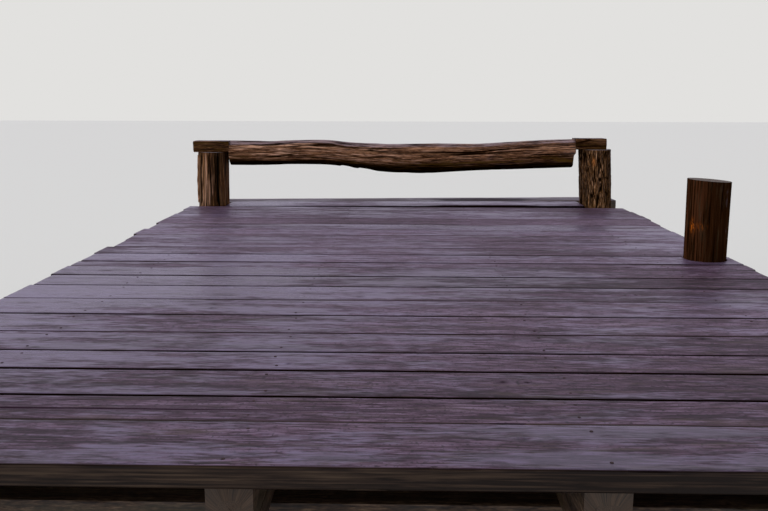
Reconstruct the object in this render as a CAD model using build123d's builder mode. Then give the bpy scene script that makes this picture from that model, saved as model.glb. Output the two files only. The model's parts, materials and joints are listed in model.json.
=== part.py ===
import os
from math import atan2, cos, radians, sin

from build123d import *

os.makedirs("parts", exist_ok=True)

# A plank jetty on driven piles, with a natural log laid across its far end as a low seat.
# Millimetres. X runs along the deck boards, +Y from the bank to the far end, +Z up.
# Z = 0 is the lowest level where the piles meet the ground.

# Deck
deck_width = 3000
deck_height = 720
plank_thickness = 50
plank_gap = 6
plank_arris = 7
# Usual width of a board with its gap, and how far each differs, counted from the bank
plank_pitch = 190
pitch_differences = [
    38, -38, 1, -32, 0, 18, 19, 26, -5, -9, -81,
    -5, -10, 0, 0, -5, 23, 35, 0, 0, -11,
]
end_wander = 7
short_left_ends = {14: 20, 15: 15, 17: 10}
long_right_ends = {3: 8, 13: 9, 19: 8, 20: 10}

# The split in the second board, from its left end inwards
split_plank = 2
split_offset = 61
split_reach = 1440
split_mouth = 7

# Joists under the boards
joist_width = 100
joist_height = 160
outer_joist_inset = 370
inner_joist_x = 385
joist_setback = 30

# Piles that stop below the deck
pile_radius = 105
near_bent_from_bank = 330
near_pile_inset = 320
mid_left_pile_inset = 120
head_above_clamps = 24

# Crossbeams under the joists: a cap on the near piles, pairs of clamps on the others
cap_width = 170
cap_height = 165
cap_overhang = 150
clamp_width = 75
clamp_height = 180
clamp_end_inset = 4
clamp_end_splay = 60
clamp_housing = 16
beam_chamfer = 6

# Bollard pile at the right side of the deck; its top leans in
bollard_inset = 119
bollard_lean = 6.5
bollard_from_bank = 2169
bollard_radius = 91
bollard_top_radius = 94
bollard_rise = 368
bollard_top_slope = 3.6
bollard_arris = 5
hole_clearance = 5

# Far posts: how far their axes stand in from the deck's sides at its level, how far their tops
# lean in from there, and how high they stand
post_gap = 70
left_post_inset = 121
left_post_lean = 10
left_post_radius = 107.5
left_post_top_radius = 109.5
left_post_rise = 367
right_post_inset = 151
right_post_lean = 26
right_post_radius = 108.5
right_post_top_radius = 115
right_post_rise = 393
post_arris = 5
sawing_spare = 60

# Squared beam bolted behind the far posts, a little out of level
end_beam_depth = 220
end_beam_height = 180
end_beam_left_inset = 10
end_beam_right_overhang = 22
end_beam_proud = 5
end_beam_tilt = 0.55
end_beam_seat = 8

# Board between the far posts, level with the deck at its left and proud of it at its right
end_board_gap = 6
end_board_post_gap = 8
end_board_proud = 14

# Log rail: hewn tongues on the post tops, a bowed natural body between them
tongue_depth = 130
tongue_arris = 14
left_tongue_height = 78
left_tongue_overhang = 120
right_tongue_height = 76
right_tongue_overhang = 42
left_shoulder_gap = 12
right_shoulder_gap = 32
right_shoulder_slant = 14
log_depth_ratio = 0.97
log_steps = 26
# Share of the body's length, middle of the log above the line of the post tops, its height
log_sections = [
    (0.00, -8, 165),
    (0.10, -10, 162),
    (0.22, -8, 167),
    (0.29, -12, 168),
    (0.36, -32, 173),
    (0.43, -47, 190),
    (0.52, -54, 202),
    (0.58, -56, 206),
    (0.64, -53, 198),
    (0.72, -50, 188),
    (0.82, -40, 190),
    (0.92, -31, 196),
    (1.00, -28, 197),
]

# Levels and places that follow from the sizes above
side = deck_width / 2
plank_pitches = [plank_pitch + difference for difference in pitch_differences]
deck_length = sum(plank_pitches)
joist_top = deck_height - plank_thickness
joist_bottom = joist_top - joist_height
clamp_bottom = joist_bottom - clamp_height
cap_bottom = joist_bottom - cap_height
post_from_bank = deck_length + post_gap + max(left_post_radius, right_post_radius)
end_beam_from_bank = post_from_bank + min(left_post_radius, right_post_radius) - end_beam_seat
bank_edge = -(end_beam_from_bank + end_beam_depth) / 2
near_bent_y = bank_edge + near_bent_from_bank
mid_bent_y = bank_edge + bollard_from_bank
far_bent_y = bank_edge + post_from_bank
end_beam_front = bank_edge + end_beam_from_bank
outer_joist_x = side - outer_joist_inset
near_pile_x = side - near_pile_inset
bollard_x = side - bollard_inset
left_post_x = left_post_inset - side
right_post_x = side - right_post_inset
left_post_top = deck_height + left_post_rise
right_post_top = deck_height + right_post_rise
mid_clamp_reach = min(bollard_radius, pile_radius) - clamp_housing
far_clamp_reach = min(left_post_radius, right_post_radius) - clamp_housing


def save(piece, name):
    piece.part.label = name
    export_step(piece.part, f"parts/{name}.step")


def turned_pile(x, y, lean, outline):
    """Revolve a pile's (radius, distance over the deck) outline about an axis that leans in X."""
    across = (cos(lean), 0, -sin(lean))
    upwards = (sin(lean), 0, cos(lean))
    with BuildSketch(Plane(origin=(x, y, deck_height), x_dir=across, z_dir=(0, -1, 0))) as half:
        with BuildLine():
            Polyline((0, outline[0][1]), *outline, (0, outline[-1][1]), close=True)
        make_face()
    revolve(half.sketch, axis=Axis((x, y, deck_height), upwards))


def cut_clamp_housings(y, reach):
    """Flats let into both sides of a pile, where a pair of clamps is bolted on."""
    with BuildSketch(Plane.XY.offset(clamp_bottom)) as flats:
        with Locations((0, y - reach - clamp_width / 2), (0, y + reach + clamp_width / 2)):
            Rectangle(2 * deck_width, clamp_width)
    extrude(flats.sketch, amount=clamp_height, mode=Mode.SUBTRACT)


def end_beam_block(mode=Mode.ADD):
    """The squared end beam's block, turned by its tilt about the middle of the deck."""
    tilt = radians(end_beam_tilt)
    face = Plane(
        origin=(0, end_beam_front, deck_height + end_beam_proud),
        x_dir=(cos(tilt), 0, sin(tilt)),
        z_dir=(0, -1, 0),
    )
    left_end = end_beam_left_inset - side
    right_end = side + end_beam_right_overhang
    with BuildSketch(face) as front:
        with Locations((left_end, 0)):
            Rectangle(right_end - left_end, end_beam_height, align=(Align.MIN, Align.MAX))
    extrude(front.sketch, amount=-end_beam_depth, mode=mode)


# Deck boards: sawn planks with eased top arrises and slightly uneven ends
for index, pitch in enumerate(plank_pitches):
    number = index + 1
    near_y = bank_edge + sum(plank_pitches[:index]) + plank_gap / 2
    far_y = near_y + pitch - plank_gap
    left_x = -side + end_wander * sin(2.3 * number) + short_left_ends.get(number, 0)
    right_x = side + end_wander * sin(1.7 * number + 1) + long_right_ends.get(number, 0)
    with BuildPart() as plank:
        with BuildSketch(Plane.YZ.offset(left_x)):
            with Locations((near_y, joist_top)):
                Rectangle(far_y - near_y, plank_thickness, align=Align.MIN)
        extrude(amount=right_x - left_x)
        top = plank.faces().sort_by(Axis.Z)[-1]
        fillet(top.edges().filter_by(Axis.X), plank_arris)
        if number == split_plank:
            split_y = near_y + split_offset
            with BuildSketch(Plane.XY.offset(joist_top)):
                with BuildLine():
                    Polyline(
                        (left_x, split_y - split_mouth / 2),
                        (left_x + split_reach, split_y),
                        (left_x, split_y + split_mouth / 2),
                        close=True,
                    )
                make_face()
            extrude(amount=plank_thickness, mode=Mode.SUBTRACT)
        hole_radius = bollard_radius + hole_clearance
        if near_y < mid_bent_y + hole_radius and far_y > mid_bent_y - hole_radius:
            with BuildSketch(Plane.XY.offset(joist_top)):
                with Locations((bollard_x, mid_bent_y)):
                    Circle(hole_radius)
            extrude(amount=plank_thickness, mode=Mode.SUBTRACT)
    save(plank, f"plank_{number:02d}")

# Joists: squared timbers from the bank to the end beam, which they butt against
joist_places = [-outer_joist_x, -inner_joist_x, inner_joist_x, outer_joist_x]
for number, joist_x in enumerate(joist_places, start=1):
    with BuildPart() as joist:
        with BuildSketch(Plane.XZ.offset(-bank_edge - joist_setback)):
            with Locations((joist_x, joist_bottom)):
                Rectangle(joist_width, joist_height, align=(Align.CENTER, Align.MIN))
        extrude(amount=-(end_beam_front - bank_edge - joist_setback))
        chamfer(joist.edges().filter_by(Axis.Y).group_by(Axis.Z)[0], beam_chamfer)
    save(joist, f"joist_{number}")

# Near bent: two piles cut off flat, and the cap that lies on them
for name, pile_x in (("near_left_pile", -near_pile_x), ("near_right_pile", near_pile_x)):
    with BuildPart() as pile:
        outline = [(pile_radius, -deck_height), (pile_radius, cap_bottom - deck_height)]
        turned_pile(pile_x, near_bent_y, 0, outline)
    save(pile, name)

with BuildPart() as near_cap:
    with BuildSketch(Plane.YZ.offset(-near_pile_x - cap_overhang)):
        with Locations((near_bent_y, cap_bottom)):
            Rectangle(cap_width, cap_height, align=(Align.CENTER, Align.MIN))
    extrude(amount=2 * (near_pile_x + cap_overhang))
    chamfer(near_cap.edges().filter_by(Axis.X), beam_chamfer)
save(near_cap, "near_cap")

# Middle bent: a pile cut off below the boards at the left, the bollard pile at the right
with BuildPart() as mid_left_pile:
    head = joist_bottom + head_above_clamps
    outline = [(pile_radius, -deck_height), (pile_radius, head - deck_height)]
    turned_pile(mid_left_pile_inset - side, mid_bent_y, 0, outline)
    cut_clamp_housings(mid_bent_y, mid_clamp_reach)
save(mid_left_pile, "mid_left_pile")

with BuildPart() as bollard_pile:
    outline = [
        (bollard_radius, -deck_height - sawing_spare),
        (bollard_radius, 0),
        (bollard_top_radius, bollard_rise + sawing_spare),
    ]
    turned_pile(bollard_x, mid_bent_y, -atan2(bollard_lean, bollard_rise), outline)
    slope = radians(bollard_top_slope)
    top_left_x = bollard_x - bollard_lean - bollard_top_radius
    sawn_top = Plane(
        origin=(top_left_x, mid_bent_y, deck_height + bollard_rise),
        z_dir=(sin(slope), 0, cos(slope)),
    )
    split(bisect_by=Plane.XY, keep=Keep.TOP)
    split(bisect_by=sawn_top, keep=Keep.BOTTOM)
    chamfer(bollard_pile.faces().sort_by(Axis.Z)[-1].edges(), bollard_arris)
    cut_clamp_housings(mid_bent_y, mid_clamp_reach)
save(bollard_pile, "bollard_pile")

# Far bent: the posts that stand up past the deck's end, seated for the beam behind them
far_posts = (
    (
        "left_post", left_post_x, atan2(left_post_lean, left_post_rise),
        left_post_radius, left_post_top_radius, left_post_rise,
    ),
    (
        "right_post", right_post_x, -atan2(right_post_lean, right_post_rise),
        right_post_radius, right_post_top_radius, right_post_rise,
    ),
)
for name, post_x, lean, radius, top_radius, rise in far_posts:
    with BuildPart() as post:
        outline = [
            (radius, -deck_height - sawing_spare),
            (radius, 0),
            (top_radius, rise + sawing_spare),
        ]
        turned_pile(post_x, far_bent_y, lean, outline)
        split(bisect_by=Plane.XY, keep=Keep.TOP)
        split(bisect_by=Plane.XY.offset(deck_height + rise), keep=Keep.BOTTOM)
        chamfer(post.faces().sort_by(Axis.Z)[-1].edges(), post_arris)
        cut_clamp_housings(far_bent_y, far_clamp_reach)
        end_beam_block(mode=Mode.SUBTRACT)
    save(post, name)

# Clamps: squared beams bolted in pairs to both sides of the middle and far piles
clamp_places = (
    ("mid_clamp_near", mid_bent_y - mid_clamp_reach - clamp_width / 2),
    ("mid_clamp_far", mid_bent_y + mid_clamp_reach + clamp_width / 2),
    ("far_clamp_near", far_bent_y - far_clamp_reach - clamp_width / 2),
    ("far_clamp_far", far_bent_y + far_clamp_reach + clamp_width / 2),
)
for name, clamp_y in clamp_places:
    with BuildPart() as clamp:
        with BuildSketch(Plane.YZ.offset(clamp_end_inset - side)):
            with Locations((clamp_y, clamp_bottom)):
                Rectangle(clamp_width, clamp_height, align=(Align.CENTER, Align.MIN))
        extrude(amount=deck_width - 2 * clamp_end_inset)
        chamfer(clamp.edges().filter_by(Axis.Y).group_by(Axis.Z)[0], clamp_end_splay)
    save(clamp, name)

with BuildPart() as end_beam:
    end_beam_block()
    chamfer(end_beam.edges().group_by(SortBy.LENGTH)[-1], beam_chamfer)
save(end_beam, "end_beam")

# Board between the far posts: its top rises from the deck's level towards its right end
with BuildPart() as end_board:
    board_near = bank_edge + deck_length + end_board_gap
    board_far = end_beam_front - end_board_gap
    board_left = left_post_x + left_post_radius + end_board_post_gap
    board_right = right_post_x - right_post_radius - end_board_post_gap
    with BuildSketch(Plane.XZ.offset(-board_near)):
        with BuildLine():
            Polyline(
                (board_left, joist_top),
                (board_right, joist_top),
                (board_right, deck_height + end_board_proud),
                (board_left, deck_height),
                close=True,
            )
        make_face()
    extrude(amount=-(board_far - board_near))
    top = end_board.faces().sort_by(Axis.Z)[-1]
    fillet(top.edges().group_by(SortBy.LENGTH)[-1], plank_arris)
save(end_board, "end_board")

# Log rail: the body follows a smooth course through the sections, and its ends are hewn to tongues
log_left = left_post_x + left_post_lean + left_post_top_radius + left_shoulder_gap
log_right = right_post_x - right_post_lean - right_post_top_radius - right_shoulder_gap
tongues = (
    (left_post_x - left_tongue_overhang, log_left, left_post_top, left_tongue_height),
    (log_right, right_post_x + right_tongue_overhang, right_post_top, right_tongue_height),
)
with BuildPart() as log_rail:
    with BuildLine() as course:
        Spline(*[(share * (log_right - log_left), middle, height) for share, middle, height in log_sections])
    for step in range(log_steps + 1):
        section = course.line @ (step / log_steps)
        share = section.X / (log_right - log_left)
        seat_line = left_post_top + share * (right_post_top - left_post_top)
        with BuildSketch(Plane.YZ.offset(log_left + section.X)):
            with Locations((far_bent_y, seat_line + section.Y)):
                Ellipse(log_depth_ratio * section.Z / 2, section.Z / 2)
    loft(ruled=True)
    with BuildSketch(Plane.XZ.offset(-far_bent_y)):
        with BuildLine():
            Polyline(
                (log_right, right_post_top),
                (log_right, deck_height),
                (log_right - 2 * right_shoulder_slant, deck_height),
                (log_right - right_shoulder_slant / 2, right_post_top),
                close=True,
            )
        make_face()
    extrude(amount=tongue_depth, both=True, mode=Mode.SUBTRACT)
    for start_x, end_x, seat, height in tongues:
        with BuildSketch(Plane.YZ.offset(start_x)) as tongue:
            with Locations((far_bent_y, seat)):
                Rectangle(tongue_depth, height, align=(Align.CENTER, Align.MIN))
            fillet(tongue.vertices().group_by(Axis.Z)[-1], tongue_arris)
        extrude(amount=end_x - start_x)
save(log_rail, "log_rail")
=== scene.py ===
import json
import math
import random
import bmesh
import bpy
from mathutils import Matrix, Vector, noise

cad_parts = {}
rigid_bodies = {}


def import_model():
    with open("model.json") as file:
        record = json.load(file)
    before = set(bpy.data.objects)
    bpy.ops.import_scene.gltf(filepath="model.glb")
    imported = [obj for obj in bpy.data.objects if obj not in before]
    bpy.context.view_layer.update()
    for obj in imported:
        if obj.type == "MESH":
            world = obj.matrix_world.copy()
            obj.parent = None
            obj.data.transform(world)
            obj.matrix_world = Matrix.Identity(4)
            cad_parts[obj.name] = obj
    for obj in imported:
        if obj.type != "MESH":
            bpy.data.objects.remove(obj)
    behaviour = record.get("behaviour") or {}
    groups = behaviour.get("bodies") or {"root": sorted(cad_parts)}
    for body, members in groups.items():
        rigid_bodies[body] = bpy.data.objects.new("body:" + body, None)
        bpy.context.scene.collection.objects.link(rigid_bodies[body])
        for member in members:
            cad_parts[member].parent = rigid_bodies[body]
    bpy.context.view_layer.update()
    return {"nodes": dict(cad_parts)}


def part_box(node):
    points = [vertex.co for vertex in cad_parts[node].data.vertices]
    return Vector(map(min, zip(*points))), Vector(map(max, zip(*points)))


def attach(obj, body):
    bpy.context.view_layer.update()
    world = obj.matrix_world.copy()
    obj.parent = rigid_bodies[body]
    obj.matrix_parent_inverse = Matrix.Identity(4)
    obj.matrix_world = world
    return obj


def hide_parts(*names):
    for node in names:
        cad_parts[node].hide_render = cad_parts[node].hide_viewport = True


for leftover in list(bpy.data.objects):
    bpy.data.objects.remove(leftover)
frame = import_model()
scene = bpy.context.scene
print("frame loaded with", len(frame["nodes"]), "nodes")

# the camera stands on the bank, just left of the jetty's middle line
bankView = {"lens": 36.56, "place": (-0.039, -3.655, 1.427), "pitch": 11.036, "yaw": 1.208, "roll": 0.111}


def setCamera(view):
    data = bpy.data.cameras.new("bank_view")
    data.sensor_width = 36
    data.lens = view["lens"]
    eye = bpy.data.objects.new("bank_view", data)
    turn = Matrix.Rotation(math.radians(view["yaw"]), 4, "Z")
    tilt = Matrix.Rotation(math.radians(90 - view["pitch"]), 4, "X")
    roll = Matrix.Rotation(math.radians(view["roll"]), 4, "Z")
    eye.matrix_world = Matrix.Translation(view["place"]) @ turn @ tilt @ roll
    scene.collection.objects.link(eye)
    scene.camera = eye


setCamera(bankView)
print("camera set")


def colour(red, green, blue):
    # a colour as a paint chart gives it, 0 to 255, made linear
    parts = []
    for part in (red, green, blue):
        share = part / 255
        parts.append(share / 12.92 if share <= 0.04045 else ((share + 0.055) / 1.055) ** 2.4)
    return (*parts, 1.0)


def feed(tree, node, sockets):
    # each socket gets a plain value or a link from another node
    for key, value in sockets.items():
        if isinstance(value, bpy.types.NodeSocket):
            tree.links.new(value, node.inputs[key])
        else:
            node.inputs[key].default_value = value


def put(tree, kind, sockets=None, **settings):
    made = tree.nodes.new(kind)
    for key, value in settings.items():
        setattr(made, key, value)
    feed(tree, made, sockets or {})
    return made


def newFinish(name):
    finish = bpy.data.materials.new(name)
    finish.use_nodes = True
    return finish, finish.node_tree, finish.node_tree.nodes["Principled BSDF"]


def readMark(tree, name, vector=False):
    read = put(tree, "ShaderNodeAttribute", attribute_name=name, attribute_type="GEOMETRY")
    return read.outputs["Vector" if vector else "Fac"]


def calc(tree, operation, first, second):
    return put(tree, "ShaderNodeMath", {0: first, 1: second}, operation=operation).outputs[0]


def times(tree, first, second):
    return calc(tree, "MULTIPLY", first, second)


def plus(tree, first, second):
    return calc(tree, "ADD", first, second)


def speckle(tree, place, stretch, detail=3.0, roughness=0.5, distortion=0.0):
    # stretch is how many spots lie to the metre along, across and through the wood
    scaled = put(tree, "ShaderNodeVectorMath", {0: place, 1: stretch}, operation="MULTIPLY").outputs[0]
    sockets = {"Vector": scaled, "Scale": 1.0, "Detail": detail, "Roughness": roughness,
               "Distortion": distortion}
    return put(tree, "ShaderNodeTexNoise", sockets).outputs[0]


def spread(tree, value, low, high, toLow=0.0, toHigh=1.0):
    sockets = {"Value": value, "From Min": low, "From Max": high, "To Min": toLow, "To Max": toHigh}
    return put(tree, "ShaderNodeMapRange", sockets, interpolation_type="SMOOTHSTEP").outputs[0]


def mixColour(tree, share, first, second):
    # the second colour is a tone from a look, or comes from another node
    second = colour(*second) if isinstance(second, tuple) else second
    return put(tree, "ShaderNodeMix", {0: share, 6: first, 7: second}, data_type="RGBA").outputs[2]


def ramp(tree, value, places, tones):
    made = put(tree, "ShaderNodeValToRGB", {"Fac": value})
    elements = made.color_ramp.elements
    for index, (place, tone) in enumerate(zip(places, tones)):
        stop = elements[index] if index < 2 else elements.new(place)
        stop.position = place
        stop.color = colour(*tone)
    return made.outputs["Color"]


def woodFinish(name, look):
    # every timber reads its grain from the "grain" mark, in metres with X along the wood
    finish, tree, shader = newFinish(name)
    grain = readMark(tree, "grain", vector=True)
    tone, grooveAndShade, pale, wet, end = (readMark(tree, mark) for mark in ("tone", "grooveAndShade", "pale", "wet", "end"))

    def layer(kind):
        return speckle(tree, grain, look[kind], *woodNoise[kind])

    def overlay(base, kind, value, overTone):
        # lays a tone on where the value passes the kind's two levels
        share = spread(tree, value, *look[f"{kind}Levels"], 0.0, look[f"{kind}Share"])
        return mixColour(tree, share, base, look[overTone])

    bands, lines, hairs, blotch = (layer(kind) for kind in ("bands", "lines", "hairs", "blotch"))
    # the grain value: broad bands, year lines and hairs, shifted by the piece's own tone
    bandShare, lineShare, hairShare = look["grainShares"]
    value = times(tree, bands, bandShare)
    value = plus(tree, value, times(tree, lines, lineShare))
    value = plus(tree, value, times(tree, hairs, hairShare))
    value = spread(tree, value, 0.5 - look["softness"], 0.5 + look["softness"])
    value = plus(tree, value, tone)
    base = ramp(tree, value, tonePlaces, look["tones"])
    if look["blotchShare"]:
        base = overlay(base, "blotch", blotch, "blotchTone")
    # short dark checks, then pits and specks of dirt that break the streaks up
    base = overlay(base, "check", layer("checks"), "grooveAndShadeTone")
    base = overlay(base, "pit", layer("pits"), "grooveAndShadeTone")
    streak = spread(tree, lines, *look["streakLevels"])
    base = mixColour(tree, times(tree, pale, streak), base, look["paleTone"])
    if look["puddles"]:
        # the water lies in patches, more of them where the wood is wet
        lift = times(tree, calc(tree, "SUBTRACT", wet, 0.5), look["puddles"])
        fine = times(tree, calc(tree, "SUBTRACT", lines, 0.5), look["puddleLines"])
        puddle = spread(tree, plus(tree, plus(tree, blotch, lift), fine), *look["puddleLevels"])
        base = overlay(base, "algae", layer("algae"), "algaeTone")
        # the puddles are painted with a blue-grey sky reflection, and the dark grain still shows through the
        # water
        soak = spread(tree, value, 0.1, 0.9, *look["wetShares"])
        base = mixColour(tree, times(tree, puddle, soak), base, look["wetTone"])
        # the top's violet tones are partly painted sky reflection; the sides and underside take the browner
        # tones
        underside = ramp(tree, value, tonePlaces, look["underTones"])
        base = mixColour(tree, readMark(tree, "under"), base, underside)
    else:
        puddle = spread(tree, blotch, *look["dampLevels"])
        # a wet top is painted with the sky's reflection in the wet tone
        wetAndSheenShare = times(tree, wet, spread(tree, bands, 0.30, 0.62, 0.35, 1.0))
        base = mixColour(tree, wetAndSheenShare, base, look["wetTone"])
    # end grain, darker, with its own fine speckle
    pores = speckle(tree, grain, look["pores"], 3.0)
    base = mixColour(tree, end, base, ramp(tree, pores, (0.3, 0.7), look["endTones"]))
    # grooves, knots and painted shade by seams, under the log and on shaded sides take the dark tone
    base = mixColour(tree, spread(tree, grooveAndShade, 0.05, 0.75), base, look["grooveAndShadeTone"])
    if "stainTone" in look:
        flecks = spread(tree, layer("stainGrain"), *look["stainLevels"])
        base = mixColour(tree, times(tree, readMark(tree, "stain"), flecks), base, look["stainTone"])
    # the wet patches shine, and dry first on the high grain
    hairRough = 0.18
    dry = plus(tree, times(tree, hairs, hairRough), look["roughDry"] - hairRough / 2)
    sockets = {0: puddle, 2: dry, 3: look["roughWet"]}
    roughness = put(tree, "ShaderNodeMix", sockets, data_type="FLOAT").outputs[0]
    roughness = calc(tree, "SUBTRACT", roughness, times(tree, wet, look["wetSmooth"]))
    gloss = spread(tree, grooveAndShade, 0.0, 0.6, look["sheen"], 0.0) if look["sheen"] else 0.0
    if look["film"]:
        water = spread(tree, puddle, 0.0, 1.0, look["film"] * look["damp"], look["film"])
        water = times(tree, water, spread(tree, grooveAndShade, 0.0, 0.5, 1.0, 0.0))
        feed(tree, shader, {"Coat Weight": water, "Coat Roughness": look["filmRough"], "Coat IOR": waterIor})
    lineRelief, hairRelief, grooveRelief = look["reliefShares"]
    height = plus(tree, times(tree, lines, lineRelief), times(tree, hairs, hairRelief))
    height = calc(tree, "SUBTRACT", height, times(tree, grooveAndShade, grooveRelief))
    relief = put(tree, "ShaderNodeBump", {"Height": height, "Strength": 1.0, "Distance": look["relief"]})
    feed(tree, shader, {"Base Color": base, "Roughness": roughness, "Specular IOR Level": gloss,
                        "Normal": relief.outputs[0]})
    return finish


waterIor = 1.33
tonePlaces = (0.0, 0.35, 0.7, 1.0)
# detail, roughness and distortion of the noise behind each kind of mark
woodNoise = {"bands": (3.0, 0.55), "lines": (5.0, 0.62, 0.4), "hairs": (2.0,), "blotch": (6.0, 0.66),
             "checks": (2.0, 0.5, 0.3), "pits": (3.0, 0.65), "algae": (4.0, 0.7, 0.5),
             "stainGrain": (4.0, 0.7)}
# tones run from the darkest grain to the lightest, bands to pores are spots to the metre as in speckle,
# and levels are those of the noise between which a mark fades in
deckLook = dict(
    # the violet of the top tones and the blue-grey wet tone are partly painted sky reflection
    tones=((34, 16, 24), (64, 42, 57), (90, 68, 86), (120, 101, 123)),
    underTones=((26, 18, 14), (46, 34, 27), (64, 50, 40), (88, 72, 58)),
    endTones=((30, 22, 20), (70, 58, 54)), paleTone=(150, 132, 146), wetTone=(81, 68, 98),
    grooveAndShadeTone=(14, 6, 4), algaeTone=(72, 60, 44),
    bands=(1.3, 26, 20), lines=(16, 118, 100), hairs=(7, 230, 210), blotch=(3.0, 15, 10),
    algae=(4, 46, 38), checks=(6, 130, 110), pits=(95, 100, 95), pores=(40, 260, 260),
    blotchLevels=(0.46, 0.66), algaeLevels=(0.52, 0.68), checkLevels=(0.41, 0.31), pitLevels=(0.48, 0.34),
    streakLevels=(0.42, 0.60), puddleLevels=(0.38, 0.66), dampLevels=(0.42, 0.60), stainLevels=(0.44, 0.60),
    blotchShare=0.0, algaeShare=0.36, checkShare=0.7, pitShare=0.75, grainShares=(0.26, 0.40, 0.34),
    softness=0.105, puddles=0.40, puddleLines=0.5, wetShares=(0.25, 0.85), damp=0.12, film=0.85,
    filmRough=0.5, roughDry=0.62, roughWet=0.36, wetSmooth=0.12, sheen=0.3, relief=0.0012,
    reliefShares=(0.7, 0.3, 0.4),
)
squaredLook = dict(
    deckLook, puddles=0.0,
    tones=((28, 17, 10), (54, 39, 28), (78, 59, 45), (106, 86, 68)), endTones=((30, 20, 13), (74, 56, 42)),
    lines=(13, 170, 140), hairs=(48, 320, 280), blotch=(2.2, 11, 9), pits=(110, 300, 300),
    pitShare=0.4, pitLevels=(0.46, 0.34), blotchTone=(54, 48, 30), blotchShare=0.65, paleTone=(120, 100, 84),
    # the wet tone is a painted sky reflection on a wet top
    wetTone=(90, 78, 92), film=0.3, damp=0.3, softness=0.12,
)
pileLook = dict(
    deckLook,
    tones=((26, 18, 12), (46, 34, 24), (66, 50, 36), (92, 74, 56)),
    bands=(0.8, 24, 24), lines=(3.0, 110, 110), hairs=(12, 420, 420), blotch=(3, 6, 6), pits=(110, 300, 300),
    pitShare=0.4, pitLevels=(0.46, 0.34), paleTone=(118, 96, 74), wetTone=(30, 25, 20), grooveAndShadeTone=(12, 8, 5),
    sheen=0.16, film=0.0, softness=0.12,
)
peeledLook = dict(
    pileLook,
    tones=((24, 10, 2), (60, 34, 14), (98, 62, 32), (150, 106, 68)), endTones=((92, 82, 82), (150, 140, 144)),
    blotchTone=(46, 34, 12), blotchShare=0.6, paleTone=(214, 164, 136), wetTone=(112, 104, 108), relief=0.002,
)
barkLook = dict(
    pileLook,
    tones=((24, 10, 1), (56, 33, 14), (92, 59, 30), (140, 98, 60)), endTones=((92, 82, 82), (150, 140, 144)),
    bands=(5, 60, 60), lines=(12, 170, 170), hairs=(50, 480, 480), blotch=(6, 14, 14),
    paleTone=(190, 146, 112), grooveAndShadeTone=(14, 6, 1), stainTone=(200, 124, 66), stainGrain=(40, 160, 160),
    relief=0.003, softness=0.09,
)
bollardLook = dict(
    pileLook,
    tones=((20, 7, 1), (32, 15, 4), (44, 23, 9), (62, 36, 18)), endTones=((70, 60, 56), (124, 115, 112)),
    paleTone=(92, 54, 34), wetTone=(116, 112, 122), grooveAndShadeTone=(8, 3, 0), stainTone=(206, 104, 24),
    stainGrain=(34, 150, 150), relief=0.0008, sheen=0.0, roughDry=0.85, roughWet=0.7, softness=0.22,
)
logLook = dict(
    pileLook,
    tones=((32, 14, 3), (76, 45, 25), (112, 73, 46), (152, 108, 80)), endTones=((52, 38, 26), (92, 72, 54)),
    bands=(2.2, 34, 34), lines=(9, 160, 160), hairs=(30, 460, 460), blotch=(4, 14, 14),
    # the wet tone is a painted sky reflection on the log's top
    paleTone=(208, 160, 134), wetTone=(136, 118, 126), grooveAndShadeTone=(16, 5, 0), stainTone=(88, 62, 22),
    stainGrain=(7, 50, 50), relief=0.002, softness=0.09,
)
deckFinish = woodFinish("wet_deck_board", deckLook)
squaredFinish = woodFinish("dark_squared_timber", squaredLook)
pileFinish = woodFinish("soaked_pile", pileLook)
peeledFinish = woodFinish("peeled_fissured_wood", peeledLook)
barkFinish = woodFinish("olive_bark", barkLook)
bollardFinish = woodFinish("dark_smooth_pile", bollardLook)
logFinish = woodFinish("weathered_log", logLook)
print("wood finishes mixed")

ironLook = dict(
    tones=((30, 20, 18), (48, 33, 29), (78, 50, 38)), tonePlaces=(0.2, 0.5, 0.8), rust=(160, 160, 160),
    pits=(700, 700, 700), pitLevels=(0.3, 0.7), roughness=(0.65, 0.85), metallic=0.35, pitDepth=0.0008,
)


def ironFinish(look):
    finish, tree, shader = newFinish("rusted_iron")
    place = put(tree, "ShaderNodeTexCoord").outputs["Object"]
    rust = speckle(tree, place, look["rust"], 5.0, 0.65)
    pits = speckle(tree, place, look["pits"], 3.0)
    relief = put(tree, "ShaderNodeBump", {"Height": pits, "Strength": 0.8, "Distance": look["pitDepth"]})
    feed(tree, shader, {"Base Color": ramp(tree, rust, look["tonePlaces"], look["tones"]),
                        "Roughness": spread(tree, pits, *look["pitLevels"], *look["roughness"]),
                        "Metallic": look["metallic"], "Normal": relief.outputs[0]})
    return finish


rustFinish = ironFinish(ironLook)

marks = ("tone", "grooveAndShade", "pale", "wet", "end", "stain", "under")


def rough(x, y, z, seed=0.0):
    # smooth noise from -1 to 1
    return noise.noise(Vector((x + seed * 17.31, y - seed * 5.17, z + seed * 3.73)))


def ease(value, low, high):
    share = min(1.0, max(0.0, (value - low) / (high - low)))
    return share * share * (3 - 2 * share)


def within(value, start, full, fades, end):
    return ease(value, start, full) * (1 - ease(value, fades, end))


def crease(value, width):
    # 1 where the noise crosses zero, so the lines run long and wander like shakes
    return max(0.0, 1 - abs(value) / width)


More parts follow.
